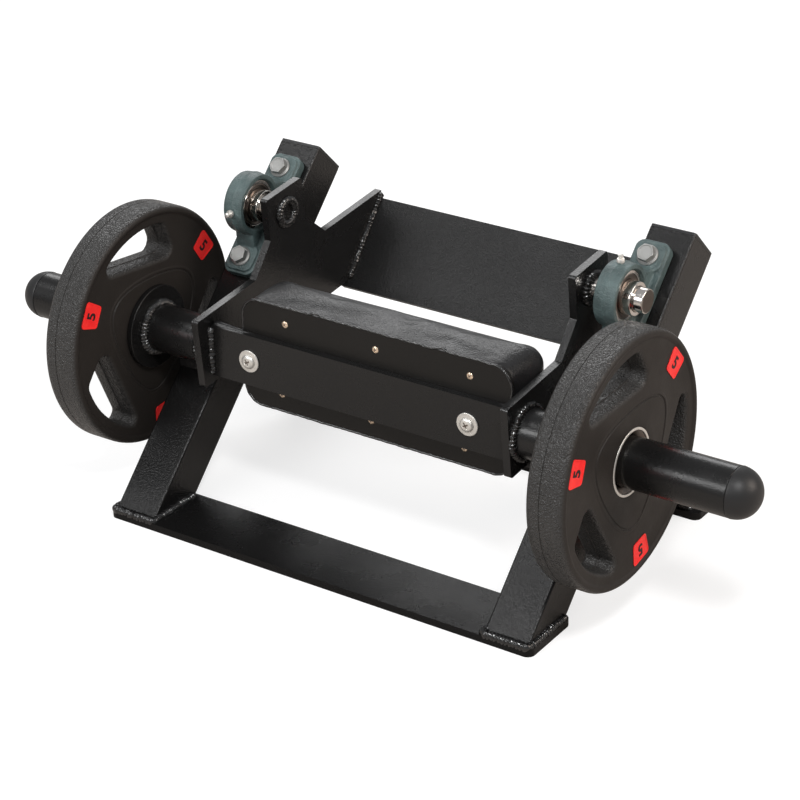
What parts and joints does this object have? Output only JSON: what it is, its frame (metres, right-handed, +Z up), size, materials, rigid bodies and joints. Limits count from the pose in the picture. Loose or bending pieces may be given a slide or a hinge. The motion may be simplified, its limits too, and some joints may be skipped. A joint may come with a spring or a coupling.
{
  "type": "tibialis trainer",
  "caption": "Floor-standing shin trainer: a padded foot lever swings in pillow blocks on leaning posts, with weight plates on side tubes.",
  "frame": {"origin": "middle of the underside of the front floor plate, on the floor", "axes": "+X to the right of the object along the load tubes, +Y from the front floor plate to the rear one, +Z up"},
  "size_m": [0.8686, 0.4209, 0.3203],
  "materials": {
    "black_coat": "black powder coat, satin with a fine grain",
    "grey_casting": "grey-green enamel on a rough casting",
    "bearing_steel": "ground steel",
    "zinc_plate": "bright zinc plate",
    "black_rubber": "moulded black rubber, grainy on the tread",
    "black_plastic": "black moulded plastic",
    "black_leatherette": "glossy black leatherette over foam",
    "plywood": "plywood board under a black cover",
    "cast_iron": "rough cast iron, inside the rubber"
  },
  "bodies": {
    "stand": {"front_floor_plate": "black_coat", "rear_floor_plate": "black_coat", "post_left": "black_coat", "post_right": "black_coat", "post_cap_left": "black_plastic", "post_cap_right": "black_plastic", "rear_strut_left": "black_coat", "rear_strut_right": "black_coat", "bearing_housing_left": "grey_casting", "bearing_housing_right": "grey_casting", "bearing_outer_ring_left": "bearing_steel", "bearing_outer_ring_right": "bearing_steel", "bearing_seal_inner_left": "black_rubber", "bearing_seal_inner_right": "black_rubber", "bearing_seal_outer_left": "black_rubber", "bearing_seal_outer_right": "black_rubber", "block_bolt_lower_left": "zinc_plate", "block_bolt_upper_left": "zinc_plate", "block_bolt_lower_right": "zinc_plate", "block_bolt_upper_right": "zinc_plate", "block_nut_lower_left": "zinc_plate", "block_nut_upper_left": "zinc_plate", "block_nut_lower_right": "zinc_plate", "block_nut_upper_right": "zinc_plate", "grease_nipple_left": "zinc_plate", "grease_nipple_right": "zinc_plate"},
    "lever": {"pivot_shaft_left": "bearing_steel", "pivot_shaft_right": "bearing_steel", "bearing_inner_ring_left": "bearing_steel", "bearing_inner_ring_right": "bearing_steel", "bearing_set_screw_left": "zinc_plate", "bearing_set_screw_right": "zinc_plate", "arm_left": "black_coat", "arm_right": "black_coat", "rear_plate": "black_coat", "front_bar": "black_coat", "load_tube_left": "black_coat", "load_tube_right": "black_coat", "stop_disc_left": "black_coat", "stop_disc_right": "black_coat", "rest_tab_left": "black_coat", "rest_tab_right": "black_coat", "tube_cap_left": "black_rubber", "tube_cap_right": "black_rubber", "pad_board": "plywood", "pad_cushion": "black_leatherette", "pad_bolt_left": "zinc_plate", "pad_bolt_right": "zinc_plate", "pad_washer_left": "zinc_plate", "pad_washer_right": "zinc_plate", "pad_tee_nut_left": "zinc_plate", "pad_tee_nut_right": "zinc_plate"},
    "left_weight": {"weight_plate_left": "black_rubber", "plate_core_left": "cast_iron", "plate_ring_left": "bearing_steel"},
    "right_weight": {"weight_plate_right": "black_rubber", "plate_core_right": "cast_iron", "plate_ring_right": "bearing_steel"},
    "left_balls": {"ball_cage_left": "bearing_steel"},
    "right_balls": {"ball_cage_right": "bearing_steel"}
  },
  "joints": [
    {"name": "lever_swing", "type": "hinge", "parent": "stand", "child": "lever", "pos_m": [0, 0.18478, 0.27833], "axis": [-1, 0, 0], "range_deg": [0, 70]},
    {"name": "left_weight_slide", "type": "slide", "parent": "lever", "child": "left_weight", "axis": [-1, 0, 0], "range_m": [0, 0.18]},
    {"name": "right_weight_slide", "type": "slide", "parent": "lever", "child": "right_weight", "axis": [1, 0, 0], "range_m": [0, 0.18]},
    {"name": "left_balls_roll", "type": "hinge", "parent": "stand", "child": "left_balls", "pos_m": [-0.225, 0.18478, 0.27833], "axis": [-1, 0, 0], "range_deg": [0, 28]},
    {"name": "right_balls_roll", "type": "hinge", "parent": "stand", "child": "right_balls", "pos_m": [0.2175, 0.18478, 0.27833], "axis": [-1, 0, 0], "range_deg": [0, 28]}
  ],
  "couplings": [
    {"joint": "left_balls_roll", "follows": "lever_swing", "ratio": 0.397},
    {"joint": "right_balls_roll", "follows": "lever_swing", "ratio": 0.397}
  ]
}
